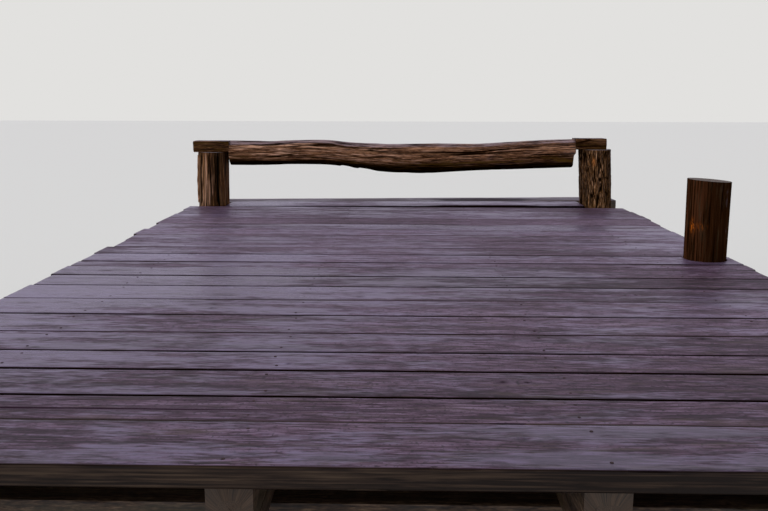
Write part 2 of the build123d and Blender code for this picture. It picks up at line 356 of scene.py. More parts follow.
def woundTube(stations, spots, place):
    # a grid is wound into a tube: stations follow the wood's length, spots go round it
    bm = bmesh.new()
    layers = {mark: bm.verts.layers.float.new(mark) for mark in marks}
    grain = bm.verts.layers.float_vector.new("grain")
    bmesh.ops.create_grid(bm, x_segments=len(stations) - 1, y_segments=len(spots), size=0.5)
    for vert in bm.verts:
        station = stations[round((vert.co.x + 0.5) * (len(stations) - 1))]
        spot = spots[round((vert.co.y + 0.5) * len(spots)) % len(spots)]
        at, along, shown = place(station, spot)
        vert.co = at
        vert[grain] = along
        for mark, value in shown.items():
            vert[layers[mark]] = value
    bmesh.ops.remove_doubles(bm, verts=bm.verts, dist=1e-6)
    bmesh.ops.holes_fill(bm, edges=[edge for edge in bm.edges if edge.is_boundary], sides=0)
    return bm


def newObject(name, bm):
    bmesh.ops.recalc_face_normals(bm, faces=bm.faces)
    mesh = bpy.data.meshes.new(name)
    bm.to_mesh(mesh)
    bm.free()
    made = bpy.data.objects.new(name, mesh)
    scene.collection.objects.link(made)
    return made


def finishPiece(name, bm, finish, replaced=(), sharpAngle=40):
    made = newObject(name, bm)
    mesh = made.data
    mesh.polygons.foreach_set("use_smooth", [True] * len(mesh.polygons))
    mesh.set_sharp_from_angle(angle=math.radians(sharpAngle))
    mesh.materials.append(finish)
    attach(made, "root")
    if replaced:
        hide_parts(*replaced)
    return made


# what boards and heavy timbers share; sizes in metres
sawn = {
    "sawMarks": (0.0004, 0.0003), "cornerCut": 0.29, "endInset": 0.005, "endRings": (0.5, 0.985),
    "shakeReach": 0.86, "shakeApart": 0.013, "shakeClear": 0.0035, "openEnds": 0.35, "shakeRim": 0.12,
    # rims, corners and sides by the seams are painted with shade, least where a seam has closed
    "knotSize": (0.007, 0.013), "knotDirt": 0.55, "chipLevels": (0.28, 0.62), "rimFrom": 0.93, "rimShade": 0.5,
    "closedSeam": (0.05, 0.45), "leastSideDark": 0.3, "openFace": False,
    # width and strength of the shade along the near side, with the lighter and darker stretches in it
    "nearShade": None, "shadeStretch": (0.1, 0.3, 0.8, 1.0), "shadeLeast": 0.55,
    # how wet the top lies, which also sets its painted sky reflection, wetter to the left, less so far out;
    # None where a timber has no puddles
    "wetness": None, "leftward": (0.20, 0.14), "wetPatches": 0.45, "edgeStretch": 0.35,
    "seams": (0.0, 0.0), "close": (0.0, 0.0), "sideDirt": 0.0, "drift": 0.0, "wornCorner": 0.0,
    # for a timber that leans in its node's box: own height, slope, rise of the top, wetness of the top with
    # its painted sky reflection
    "height": None, "lean": 0.0, "topRise": 0.0, "wetTop": 0.0,
}


def timberShakes(length, reach, count, work, draw):
    # shakes along one face; about a third of them run out through an end
    shakes = []
    for _ in range(count):
        middle = draw.uniform(-work["shakeReach"], work["shakeReach"]) * reach
        if any(abs(middle - other["middle"]) < work["shakeApart"] for other in shakes):
            continue
        span = draw.uniform(*work["shakeSpan"])
        start = draw.uniform(-length / 2, length / 2 - span * 0.4)
        if draw.random() < work["openEnds"]:
            start = draw.choice((-length / 2 - span / 2, length / 2 - span / 2))
        shakes.append({"middle": middle, "start": start, "span": span,
                       "depth": draw.uniform(*work["shakeDepth"])})
    return shakes


def openness(shake, x):
    # a shake opens soon after its start and closes as fast, a little unevenly
    share = (x - shake["start"]) / shake["span"]
    if not 0 < share < 1:
        return 0.0
    return min(1.0, 2.4 * math.sin(math.pi * share)) * (0.82 + 0.3 * rough(x * 8, shake["middle"] * 60, 3))


def timberSpots(width, height, length, work, draw):
    # round the section: top, right, bottom, left, with a softened corner after each
    arris = work["arris"]
    sides = ((width, height, (1, 0), (0, 1)), (height, width, (0, -1), (1, 0)),
             (width, height, (-1, 0), (0, -1)), (height, width, (0, 1), (-1, 0)))
    spots = []
    for side, (wide, deep, run, out) in enumerate(sides):
        reach = wide / 2 - arris
        face = {"side": side, "reach": reach, "deep": deep / 2, "run": run, "out": out, "corner": 0.0}
        shakes = timberShakes(length, reach, draw.randint(*work["shakes"][side]), work, draw)
        count = work["rows"][side]
        rows = [(-reach + 2 * reach * n / count, None, 0) for n in range(count + 1)]
        rows = [row for n, row in enumerate(rows) if n in (0, count)
                or all(abs(row[0] - shake["middle"]) > work["shakeClear"] for shake in shakes)]
        for shake in shakes:
            rows.extend([(shake["middle"], shake, part) for part in (-1, 0, 1)])
        rows.sort(key=lambda row: (row[0], row[2]))
        spots.extend(dict(face, along=along, shake=shake, part=part) for along, shake, part in rows)
        cut = arris * work["cornerCut"]
        spots.append(dict(face, along=wide / 2 - cut, deep=deep / 2 - cut, shake=None, part=0, corner=1.0))
    return spots


def knotFlow(x, y, knots, work):
    # the grain bends round each knot, which is itself darker
    flow, dark = y, 0.0
    for knotX, knotY, wide in knots:
        offX, offY = (x - knotX) / (wide * 3.5), (y - knotY) / (wide * 2.2)
        pull = math.exp(-offX * offX - offY * offY)
        flow -= (1 if offY > 0 else -1) * pull * wide * min(1.0, abs(offY) * 3)
        near = ((x - knotX) / (wide * 1.3)) ** 2 + ((y - knotY) / wide) ** 2
        dark = max(dark, math.exp(-near) * work["knotDirt"])
    return flow, dark


def seamShade(spot, x, y, width, work):
    # painted shade by the timber's seams: at the rims, on the sides in the gaps and in the shade of the near
    # one
    side, along = spot["side"], spot["along"]
    nearSeam, farSeam = work["seams"]
    seam = farSeam if (side == 0 and along > 0) or (side == 1 and spot["corner"]) else nearSeam
    dark = spot["corner"] * seam
    if side in (0, 2):
        dark = max(dark, ease(abs(along) / spot["reach"], work["rimFrom"], 1.0) * seam * work["rimShade"])
    # the open near face of the first board is only darkened a little
    elif side == 3 and work["openFace"]:
        dark = max(dark, work["leastSideDark"])
    else:
        # painted shade fills an open seam, not one that has closed
        least = work["leastSideDark"]
        opened = ease(farSeam if side == 1 else nearSeam, *work["closedSeam"])
        dark = max(dark, work["sideDirt"] * (least + (1 - least) * opened))
    if side == 0 and work["nearShade"]:
        seamWidth, seamShare = work["nearShade"]
        shade = ease(-y, width / 2 - seamWidth, width / 2 - 0.3 * seamWidth)
        least = work["shadeLeast"]
        dark = max(dark, shade * seamShare * (least + (1 - least) * within(x, *work["shadeStretch"])))
    return dark


def makeTimber(name, node, finish, work, seed, axis="x"):
    # a sawn timber over its CAD node's box, with shakes, worn corners, knots and ragged ends
    draw = random.Random(seed)
    low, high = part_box(node)
    middle = (low + high) / 2
    spans = high - low
    length, width, height = (spans.x, spans.y, spans.z) if axis == "x" else (spans.y, spans.x, spans.z)
    if work["height"]:
        width, height = high.y - low.y, work["height"]
    tone = draw.uniform(*work["tone"])
    phase = draw.uniform(0, 40)
    bow = draw.uniform(-1, 1) * work["cup"]
    knots = [(draw.uniform(-0.48, 0.48) * length, draw.uniform(-0.4, 0.4) * width,
              draw.uniform(*work["knotSize"])) for _ in range(draw.randint(*work["knots"]))]
    steps = max(6, round(length / work["stepAlong"]))
    half, inset = length / 2, work["endInset"]
    # place along the timber, size of the ring there, and 1 on an end
    stations = [(-half, ring, 1.0) for ring in work["endRings"]]
    stations += [(-half + inset + (length - 2 * inset) * n / steps, 1.0, 0.0) for n in range(steps + 1)]
    stations += [(half, ring, 1.0) for ring in reversed(work["endRings"])]
    coarse, fine = work["sawMarks"]
    hasPuddles = work["wetness"] is not None

    def place(station, spot):
        x, shrink, end = station
        side, along, reach, shake = spot["side"], spot["along"], spot["reach"], spot["shake"]
        inward = max(0.0, 1 - (along / reach) ** 2)
        shift = work["wander"] * rough(x * 1.1, along * 9 + side * 5, phase) * inward
        out = coarse * rough(x * 5, along * 170, phase + side) + fine * rough(x * 16, along * 60, phase)
        out += work["wave"] * rough(x * 1.4, side * 4.3, phase + 7)
        grooveAndShade = 0.0
        if side in (0, 2):
            out += bow * (1 if side == 0 else -1) * ((along / reach) ** 2 - 0.33)
        if shake:
            gap = openness(shake, x)
            shift += spot["part"] * work["shakeWidth"] * (0.35 + 0.65 * gap)
            if spot["part"] == 0:
                out -= shake["depth"] * gap
                grooveAndShade = gap
            else:
                grooveAndShade = work["shakeRim"] * gap
        if spot["corner"]:
            chip = ease(rough(x * 6.5, side * 9.1, phase + 2), *work["chipLevels"]) * work["chip"]
            shift -= chip
            out -= chip
        run, face = spot["run"], spot["out"]
        y = run[0] * (along + shift) + face[0] * (spot["deep"] + out)
        z = run[1] * (along + shift) + face[1] * (spot["deep"] + out)
        # boards that lie close reach a little over their gap
        y += work["close"][1] * (y > 0.3 * width) - work["close"][0] * (y < -0.3 * width)
        flow, knot = knotFlow(x, y, knots, work)
        stretch = work["edgeStretch"] if side and hasPuddles else 1.0
        grain = (x * stretch + phase * 3.1, flow + phase, z + phase * 0.7)
        x += end * work["rag"] * rough(y * 60, z * 60, phase)
        y, z = y * shrink, z * shrink
        z += work["lean"] * x + work["topRise"] * (z / height + 0.5) * (x / length)
        grooveAndShade = max(grooveAndShade, knot if side in (0, 2) else 0.0, seamShade(spot, x, y, width, work))
        drift = work["drift"] * rough(x * 0.9, middle.y * 2.3, 9.1)     # darker and lighter stretches
        shown = {"tone": tone + drift, "grooveAndShade": grooveAndShade, "end": end, "under": float(side != 0),
                 "pale": spot["corner"] * work["wornCorner"], "wet": work["wetTop"] * (side == 0)}
        if side == 0 and hasPuddles:
            most, less = work["leftward"]
            wetness = work["wetness"] - (most - less * ease(middle.y, -0.7, 0.2)) * x
            wetness += work["wetPatches"] * rough(x * 1.6, (middle.y + y) * 3.2, 2.7)
            shown["wet"] = min(1.0, max(0.0, wetness))
        if axis == "y":
            x, y = -y, x
        return (middle.x + x, middle.y + y, middle.z + z), grain, shown

    bm = woundTube(stations, timberSpots(width, height, length, work, draw), place)
    return finishPiece(name, bm, finish, (node,))


def cutAway(piece, cutter):
    # takes the cutter's shape out of the piece for good
    tool = newObject("cutter", cutter)
    cut = piece.modifiers.new("cut", "BOOLEAN")
    cut.operation = "DIFFERENCE"
    cut.solver = "EXACT"
    cut.object = tool
    view = bpy.context.evaluated_depsgraph_get()
    result = bpy.data.meshes.new_from_object(piece.evaluated_get(view))
    old = piece.data
    piece.modifiers.clear()
    piece.data = result
    bpy.data.meshes.remove(old)
    bpy.data.objects.remove(tool)


deck = dict(
    sawn,
    stepAlong=0.016, rows=(20, 3, 7, 3), arris=0.0045, cup=0.0009, wave=0.0007, wander=0.004,
    shakes=((3, 6), (0, 1), (1, 2), (0, 1)), shakeSpan=(0.25, 1.3), shakeDepth=(0.003, 0.008),
    shakeWidth=0.0011, chip=0.004, rag=0.0016, knots=(0, 3), tone=(-0.15, 0.15), sideDirt=0.7, drift=0.3,
    # each board from the bank out: how wet it lies, which sets its painted sky reflection too, and how much
    # lighter or darker it is
    boardWetness=(0.58, 0.15, 0.36, 0.43, 0.36, 0.45, 0.64, 0.63, 0.45, 0.46, 0.32, 0.5, 0.28, 0.43, 0.42,
                  0.45, 0.68, 0.1, 0.45, 0.5, 0.4),
    toneShifts=(-0.12, -0.14, -0.07, -0.05, -0.02, -0.07, 0.08, -0.05, -0.06, -0.1, 0.1, 0.1, -0.05, 0.0,
                0.17, 0.08, 0.1, 0.0, 0.15, 0.0, 0.0),
    # how dark the painted shade in the seam behind each board is; the faintest ones lie almost closed
    seamShares=(0.08, 0.5, 0.42, 0.6, 0.25, 0.45, 0.08, 0.6, 0.45, 0.25, 0.4, 0.7, 0.2, 0.3, 0.18, 0.18, 0.2,
                0.2, 0.18, 0.2, 0.8),
    frontEdge=0.5, overlap=0.0028, overlapFrom=(0.46, 0.3),
)
shortBoard = dict(
    deck, wetness=0.62, rows=(30, 3, 7, 3), shakes=((3, 4), (0, 1), (1, 2), (0, 1)), tone=(0.05, 0.1),
    seams=(0.75, 0.3), nearShade=(0.085, 0.62), height=0.05, topRise=0.014, wetTop=0.5,
)
split = {"board": 2, "offset": 0.061, "reach": 1.44, "mouth": 0.012, "least": 0.0006, "ragged": 0.3,
         "wander": 0.004, "pastEnd": 0.02, "height": 0.09, "down": 0.025}
hole = {"boards": (12, 13), "place": (1.381, -0.057, 0.695), "radius": 0.096, "depth": 0.2, "ragged": 0.015}


def splitWedge(board):
    low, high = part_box(board)
    bm = bmesh.new()
    bmesh.ops.create_cube(bm, size=1)
    along = [edge for edge in bm.edges if abs((edge.verts[0].co - edge.verts[1].co).x) > 0.5]
    bmesh.ops.subdivide_edges(bm, edges=along, cuts=60, use_grid_fill=True)
    # the split's walls are painted dark as shade inside the crack
    dark = bm.verts.layers.float.new("grooveAndShade")
    for vert in bm.verts:
        vert[dark] = 1.0
        share = vert.co.x + 0.5
        x = low.x - split["pastEnd"] + share * (split["reach"] + split["pastEnd"])
        gap = split["mouth"] * (1 - share ** 2) * (1 + split["ragged"] * rough(x * 14, 2, 1)) + split["least"]
        y = low.y + split["offset"] + split["wander"] * rough(x * 3, 4, 1) + vert.co.y * gap
        vert.co = (x, y, high.z - split["down"] + vert.co.z * split["height"])
    return bm


def bollardHole():
    # the round hole that the bollard stands in, half in each of two boards
    x, y, z = hole["place"]
    bm = bmesh.new()
    bmesh.ops.create_cone(bm, cap_ends=True, segments=72, radius1=hole["radius"], radius2=hole["radius"],
                          depth=hole["depth"])
    for vert in bm.verts:
        swell = 1 + hole["ragged"] * rough(vert.co.x * 30, vert.co.y * 30, 0, 5)
        vert.co = (vert.co.x * swell + x, vert.co.y * swell + y, vert.co.z + z)
    return bm


def layDeck():
    for number in range(1, 22):
        node = f"plank_{number:02d}"
        shares = deck["seamShares"]
        seams = (shares[number - 2] if number > 1 else deck["frontEdge"], shares[number - 1])
        start, fadeBy = deck["overlapFrom"]
        work = dict(deck, openFace=number == 1, seams=seams, wetness=deck["boardWetness"][number - 1],
                    close=tuple(deck["overlap"] * ease(start - share, 0.0, fadeBy) for share in seams),
                    tone=tuple(limit + deck["toneShifts"][number - 1] for limit in deck["tone"]))
        board = makeTimber(f"board_{number:02d}", node, deckFinish, work, 40 + number)
        if number == split["board"]:
            cutAway(board, splitWedge(node))
        if number in hole["boards"]:
            cutAway(board, bollardHole())
    makeTimber("board_between_posts", "end_board", deckFinish, shortBoard, 77)


layDeck()
print("deck boards laid")

heavy = dict(
    sawn,
    stepAlong=0.03, rows=(14, 12, 10, 12), arris=0.007, cup=0.0008, wave=0.0015, wander=0.006,
    shakes=((2, 3), (2, 3), (1, 2), (2, 3)), shakeSpan=(0.4, 1.6), shakeDepth=(0.004, 0.012),
    shakeWidth=0.0016, chip=0.005, rag=0.002, knots=(1, 4), tone=(-0.1, 0.1), wornCorner=0.3,
)
beam = dict(
    heavy, stepAlong=0.018, rows=(24, 12, 10, 12), nearShade=(0.30, 0.55), height=0.18,
    lean=math.tan(math.radians(0.55)), wetTop=0.6,
)
joist = dict(heavy, rows=(6, 9, 6, 9))
clamp = dict(heavy, rows=(5, 12, 5, 12))


def frameBelow():
    def layTimber(name, node, work, seed, axis="x"):
        makeTimber(name, node, squaredFinish, work, seed, axis)

    layTimber("beam_behind_posts", "end_beam", beam, 5)
    for number in range(1, 5):
        layTimber(f"floor_joist_{number}", f"joist_{number}", joist, 10 + number, "y")
    layTimber("bank_crossbeam", "near_cap", heavy, 21)
    for number, node in enumerate(("mid_clamp_near", "mid_clamp_far", "far_clamp_near", "far_clamp_far")):
        layTimber(f"pile_{node}", node, clamp, 31 + number)


frameBelow()
print("beam, joists, crossbeam and clamps made")


def roundedBlock(angle, halfWide, halfHigh, arris):
    # where a bearing leaves a rectangle with softened corners
    c, s = math.cos(angle), math.sin(angle)
    reach = min(halfWide / max(abs(c), 1e-9), halfHigh / max(abs(s), 1e-9))
    y, z = reach * c, reach * s
    cutY, cutZ = abs(y) - (halfWide - arris), abs(z) - (halfHigh - arris)
    if cutY > 0 and cutZ > 0:
        over = math.hypot(cutY, cutZ)
        y = math.copysign(halfWide - arris + cutY / over * arris, y)
        z = math.copysign(halfHigh - arris + cutZ / over * arris, z)
    return y, z


def bearings(count):
    # spread evenly round a section
    return [2 * math.pi * n / count for n in range(count)]


# what all upright round timbers share: how deep a head's checks are, how its rim is worn, how dark
# the wood is where it stands wet, and how much duller it is on the lake side
upright = {
    "footRings": (0.02, 0.55, 0.985), "coarse": 0.03, "fineFrom": 0.66, "slope": 0.0,
    "headRings": (0.975, 0.93, 0.85, 0.75, 0.64, 0.52, 0.40, 0.28, 0.16, 0.07, 0.015),
    "checkDepth": 0.007, "rimWorn": 0.003, "headGrit": 0.0012, "soaked": 0.38, "soakedUpTo": (0.18, 0.62),
    "lakeSide": (0.1, 0.7), "lakeDark": 0.14, "lakeDull": 0.7,
}


def roundStations(length, work):
    # foot cap, wall with short steps above fineFrom, head cap
    fine, fineFrom = work["fine"], work["fineFrom"]
    heights = [0.0]
    while heights[-1] < length - fine * 1.5:
        heights.append(heights[-1] + (fine if heights[-1] >= fineFrom else work["coarse"]))
    heights[-1] = length
    stations = [(0.0, share, -1) for share in work["footRings"]]
    stations += [(height / length, 1.0, 0) for height in heights]
    return stations + [(1.0, share, 1) for share in work["headRings"]]


def makeRound(name, node, finish, work, skin):
    # an upright round timber on the floor; skin gives its surface at a bearing and height
    seed, foot, head, length = work["seed"], work["foot"], work["head"], work["top"]

    def place(station, angle):
        share, shrink, cap = station
        c, s = math.cos(angle), math.sin(angle)
        out, shown = skin(c, s, share * length, work)
        if cap:
            out *= shrink ** 2
        radius = work["footRadius"] + (work["headRadius"] - work["footRadius"]) * share
        r = (radius + out) * shrink
        x = foot[0] + (head[0] - foot[0]) * share + r * c
        y = foot[1] + (head[1] - foot[1]) * share + r * s
        z = share * (length + work["slope"] * (r * c + radius))
        if cap == 1:
            check = headChecks(angle, shrink, work)
            z -= check * work["checkDepth"] + work["rimWorn"] * ease(shrink, 0.93, 1.0)
            z += work["headGrit"] * rough(c * shrink * 9, s * shrink * 9, seed)
            shown = dict(shown, grooveAndShade=check, end=ease(1 - shrink, 0.0, 0.06), pale=0.0, stain=0.0)
        elif cap == -1:
            shown = dict(shown, end=1.0, grooveAndShade=0.0)
        soaked = work["soaked"] * (1 - ease(z + 0.05 * rough(c * 2, s * 2, 4, seed), *work["soakedUpTo"]))
        away = ease(s, *work["lakeSide"])
        shown = dict(shown, tone=work["tone"] - soaked - work["lakeDark"] * away,
                     pale=shown["pale"] * (1 - 2 * soaked) * (1 - work["lakeDull"] * away))
        return (x, y, z), (z + seed * 2.3, r * c + seed, r * s - seed), shown

    bm = woundTube(roundStations(length, work), bearings(work["around"]), place)
    return finishPiece(name, bm, finish, (node,), sharpAngle=55)


def headChecks(angle, shrink, work):
    # drying checks that run out from the heart of a sawn head
    value = 0.0
    for bearing, width, inner, outer in work["checks"]:
        apart = abs((angle - bearing + math.pi) % (2 * math.pi) - math.pi) * shrink
        if inner < shrink < outer:
            fade = within(shrink, inner, inner + 0.2, outer - 0.15, outer)
            value = max(value, max(0.0, 1 - apart / width) * fade)
    return value


def onBearing(c, s, height, streak):
    # how strong a streak is here, that runs up the wood at a bearing and wanders a little
    bearing, wide, low, top, share = streak
    turn = math.radians(bearing) + 0.05 * rough(height * 7, bearing, 2)
    turn += 0.02 * rough(height * 30, bearing, 5)
    apart = math.acos(max(-1.0, min(1.0, c * math.cos(turn) + s * math.sin(turn))))
    inside = within(height, low - 0.02, low + 0.03, top - 0.03, top + 0.02)
    return share * inside * max(0.0, 1 - (apart / wide) ** 2)


def roundNoise(c, s, height, seed):
    # noise on a round skin, finer the higher around and along are
    def ripple(around, along, step=0):
        return rough(c * around, s * around, height * along, seed + step)
    return ripple


def peeledSkin(c, s, height, work):
    # bare wood with long fissures and torn strips standing proud
    deep, ripple = work["depths"], roundNoise(c, s, height, work["seed"])
    main = crease(ripple(2.3, 0.8), 0.10)
    main *= ease(ripple(2, 1.1, 3), -0.25, 0.25)
    fine = crease(ripple(6.5, 1.7, 1), 0.16)
    strips = ease(ripple(4.2, 1.3, 5), 0.10, 0.30)
    placed = max(onBearing(c, s, height, fissure) for fissure in work["fissures"])
    light = max(onBearing(c, s, height, streak) for streak in work["streaks"])
    out = deep["swell"] * ripple(1.3, 1.5, 8) + deep["grit"] * ripple(14, 6, 2)
    out += deep["strip"] * strips - deep["main"] * main - deep["fine"] * fine
    out += deep["light"] * light - deep["placed"] * placed
    streak = ease(ripple(5.5, 0.9, 6), 0.12, 0.36) * (1 - main)
    # painted shade right of the middle, browner again towards the edge
    damp = ease(c, -0.02, 0.25) * (1 - 0.65 * ease(c, 0.5, 0.8)) * (s < 0.4)
    return out, {"grooveAndShade": max(main, 0.45 * fine, placed, 0.34 * damp), "stain": 0.0, "wet": 0.0,
                 "pale": max(0.6 * streak * (1 - damp), light)}


def barkSkin(c, s, height, work):
    # tall narrow plates with furrows between them
    seed, deep, around = work["seed"], work["depths"], work["plates"]
    ripple = roundNoise(c, s, height, seed)
    warp = 0.22 * ripple(3, 6)
    near = noise.voronoi(Vector((c * around + warp + seed, s * around - warp, height * 7.5 + warp * 2)))
    gap = near[0][1] - near[0][0]
    furrow = (1 - ease(gap, 0.02, 0.26)) * (0.55 + 0.45 * ease(ripple(5, 9, 3), -0.3, 0.3))
    # each plate stands at its own height
    heart = near[1][0]
    plate = math.sin(heart.x * 12.9 + heart.y * 78.2 + heart.z * 37.7) * 0.5 + 0.5
    out = deep["swell"] * ripple(1.4, 2, 4) + deep["grit"] * ripple(15, 34, 1)
    out += deep["plate"] * plate * (1 - furrow) - deep["furrow"] * furrow
    # small bare flecks, most of them left of the middle, and one orange patch
    fleck = (1 - 0.6 * furrow) * ease(ripple(21, 30, 9) + 0.2 * plate, 0.20, 0.36)
    fleck *= 0.3 + 0.85 * math.exp(-((c + 0.2) / 0.45) ** 2)
    rise = height - work["patchHeight"]
    patch = math.exp(-(c + 0.28) ** 2 / 0.006 - rise ** 2 / 0.0006) if s < 0 else 0.0
    # the right side, towards the open water, is painted with shade and shows fewer pale flecks
    shaded = ease(c, 0.25, 0.55) * ease(-s, -0.3, 0.1)
    return out, {"grooveAndShade": max(furrow * 0.75, 0.36 * shaded), "pale": fleck * (1 - 0.7 * shaded),
                 "stain": patch, "wet": 0.0}


def smoothSkin(c, s, height, work):
    # a turned-smooth pile with hairline shakes
    deep, ripple = work["depths"], roundNoise(c, s, height, work["seed"])
    hair = crease(ripple(5, 0.7), 0.07)
    hair *= ease(ripple(3, 2, 2), -0.05, 0.3)
    out = deep["swell"] * ripple(2, 2, 4) + deep["grit"] * rough(c * 20, s * 20, height * 3)
    patch = 0.0
    for turn, rise, wide, high, share in work["rubbed"]:
        apart = 2 * (1 - c * math.cos(turn) - s * math.sin(turn))
        patch = max(patch, share * math.exp(-apart / wide - (height - rise) ** 2 / high))
    out -= deep["hair"] * hair + deep["rubbed"] * patch
    # the left side is painted paler: a painted highlight of light from the left
    return out, {"grooveAndShade": hair * 0.8, "pale": 0.58 * ease(-c, 0.0, 0.9), "stain": patch, "wet": 0.0}


def pileSkin(c, s, height, work):
    # a hidden pile: some fissures, and darker where it stands wet
    deep, ripple = work["depths"], roundNoise(c, s, height, work["seed"])
    main = crease(ripple(2.5, 0.9), 0.10)
    out = deep["swell"] * ripple(1.5, 1.6, 8) + deep["grit"] * ripple(12, 6, 2)
    line = work["waterLine"] + 0.03 * ripple(2, 0)
    return out - deep["main"] * main, {"grooveAndShade": main * 0.8, "pale": 0.0, "stain": 0.0,
                                       "wet": 1 - ease(height, line - 0.03, line + 0.04)}


farY = 1.9065
leftPost = dict(
    upright, seed=3.0, foot=(-1.399, farY), head=(-1.369, farY), top=1.087, footRadius=0.1065,
    headRadius=0.1065, around=208, fine=0.008, tone=0.06,
    checks=((0.7, 0.03, 0.1, 1.0), (3.6, 0.02, 0.3, 0.9)),
    depths={"swell": 0.003, "main": 0.009, "fine": 0.0025, "strip": 0.0025, "grit": 0.0008,
            "light": 0.0015, "placed": 0.006},
    # bearing, half width, from, to, strength
    streaks=((-108, 0.09, 0.72, 0.90, 1.0), (-108, 0.06, 0.88, 1.08, 0.7), (-83, 0.13, 0.79, 0.93, 0.6),
             (-120, 0.07, 0.72, 0.84, 0.6), (-27, 0.07, 0.74, 1.05, 0.4), (150, 0.10, 0.80, 1.04, 0.7),
             (60, 0.12, 0.76, 0.98, 0.6), (-96, 0.13, 0.72, 0.90, 0.45)),
    fissures=((-132, 0.08, 0.72, 1.08, 0.9), (-62, 0.16, 0.72, 1.08, 0.7), (-72, 0.05, 0.86, 1.08, 0.8),
              (-98, 0.05, 0.92, 1.08, 0.8), (30, 0.07, 0.72, 1.08, 0.9), (110, 0.06, 0.6, 1.0, 0.8)),
)
rightPost = dict(
    upright, seed=7.0, foot=(1.397, farY), head=(1.323, farY), top=1.113, footRadius=0.1065,
    headRadius=0.1105, around=216, fine=0.006, tone=0.0,
    checks=((2.2, 0.03, 0.1, 1.0), (5.4, 0.02, 0.3, 0.9)), plates=6.6, patchHeight=1.03,
    depths={"swell": 0.002, "furrow": 0.0055, "plate": 0.0025, "grit": 0.0014},
)
bollard = dict(
    upright, seed=11.0, foot=(1.3937, -0.057), head=(1.3733, -0.057), top=1.0915, footRadius=0.0905,
    headRadius=0.0953, around=160, fine=0.012, tone=0.0, slope=-math.tan(math.radians(3.6)),
    checks=((1.1, 0.016, 0.05, 0.9), (4.2, 0.012, 0.2, 0.8)),
    depths={"swell": 0.0012, "hair": 0.003, "grit": 0.0003, "rubbed": 0.0012},
    # bearing, height, widths and strength of the spots where something has rubbed
    rubbed=((3.65, 0.882, 0.012, 0.0006, 1.0), (4.05, 0.882, 0.05, 0.0002, 0.3)),
)
hiddenPile = dict(
    upright, footRadius=0.1045, headRadius=0.1035, around=96, coarse=0.02, fine=0.02, fineFrom=0.0,
    tone=-0.05, checks=((1.5, 0.03, 0.1, 1.0),), waterLine=0.26,
    depths={"swell": 0.003, "main": 0.006, "grit": 0.0008},
)
splinter = {"from": 0.728, "to": 1.066, "bearing": math.radians(192), "wide": 0.050, "thick": 0.010,
            "gap": 0.004, "wander": 0.006, "postRadius": 0.1075}


def makeSplinter():
    # a torn strip of the left post's outer wood, loose between its two ends
    stations = [(0.0, 0.3)] + [(n / 46, 1.0) for n in range(47)] + [(1.0, 0.3)]

    def place(station, angle):
        share, shrink = station
        z = splinter["from"] + (splinter["to"] - splinter["from"]) * share
        loose = math.sin(math.pi * share) ** 0.6
        swell = (0.35 + 0.65 * min(1.0, 4 * share, 5 * (1 - share))) * (1 + 0.25 * rough(z * 17, 3, 1))
        across, through = roundedBlock(angle, splinter["wide"] / 2 * swell, splinter["thick"] / 2, 0.003)
        bearing = splinter["bearing"] + 0.05 * rough(z * 8, 1, 4) + across * shrink / 0.112
        r = splinter["postRadius"] + (splinter["gap"] + splinter["wander"] * rough(z * 13, 6, 2)) * loose
        r += through * shrink + 0.0012 * rough(z * 30, across * 140, 2)
        axis = leftPost["foot"][0] + (leftPost["head"][0] - leftPost["foot"][0]) * z / leftPost["top"]
        at = (axis + r * math.cos(bearing), farY + r * math.sin(bearing), z)
        pale = ease(rough(z * 6, across * 90, 8), -0.35, 0.15)
        return at, (z, across + 3, through + 5), {"pale": pale, "grooveAndShade": 0.05, "tone": 0.4}

    bm = woundTube(stations, bearings(28), place)
    return finishPiece("loose_splinter", bm, peeledFinish)


def raisePiles():
    makeRound("left_far_post", "left_post", peeledFinish, leftPost, peeledSkin)
    makeSplinter()
    makeRound("right_far_post", "right_post", barkFinish, rightPost, barkSkin)
    makeRound("bollard_post", "bollard_pile", bollardFinish, bollard, smoothSkin)
    for number, node in enumerate(("near_left_pile", "near_right_pile", "mid_left_pile")):
        low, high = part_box(node)
        centre = ((low + high) / 2)[:2]
        work = dict(hiddenPile, seed=20.0 + number, foot=centre, head=centre, top=high.z)
        makeRound(f"{node}_timber", node, pileFinish, work, pileSkin)


raisePiles()
print("piles and posts raised")

seat = {
    "leftEnd": -1.499, "leftShoulder": -1.2475, "rightShoulder": 1.176, "rightEnd": 1.391,
    "postTops": ((-1.369, 1.087), (1.323, 1.113)), "around": 144, "step": 0.010, "tongueStep": 0.012,
    "leftTongue": (1.087, 1.165), "rightTongue": (1.113, 1.189), "tongueHalfDepth": 0.065, "arris": 0.012,
    "leftDirt": 0.34, "rightDirt": 0.42, "depthRatio": 0.97, "seed": 5.0, "sawnBack": 0.018,
    # share along the body, height of its middle over the line of the post tops, height of the log
    "course": ((0, -0.008, 0.165), (0.10, -0.010, 0.162), (0.22, -0.008, 0.167), (0.29, -0.012, 0.168),
               (0.36, -0.032, 0.173), (0.43, -0.047, 0.190), (0.52, -0.054, 0.202), (0.58, -0.056, 0.206),
               (0.64, -0.053, 0.198), (0.72, -0.050, 0.188), (0.82, -0.040, 0.190), (0.92, -0.031, 0.196),
               (1, -0.028, 0.197)),
    # where each mark starts, is full, fades and ends along the log
    "steps": ((-0.47, -0.455, -0.42, -0.36), (-0.345, -0.33, -0.28, -0.2)),
    "browSpan": (-1.15, -1.0, -0.1, 0.15), "denseSpan": (-1.16, -1.02, -0.72, -0.45),
    "depths": {"swell": 0.0035, "main": 0.008, "fine": 0.0022, "strands": 0.0012, "tornStrands": 0.0026,
               "grit": 0.0008, "step": 0.006, "crack": 0.004, "brow": 0.003},
}


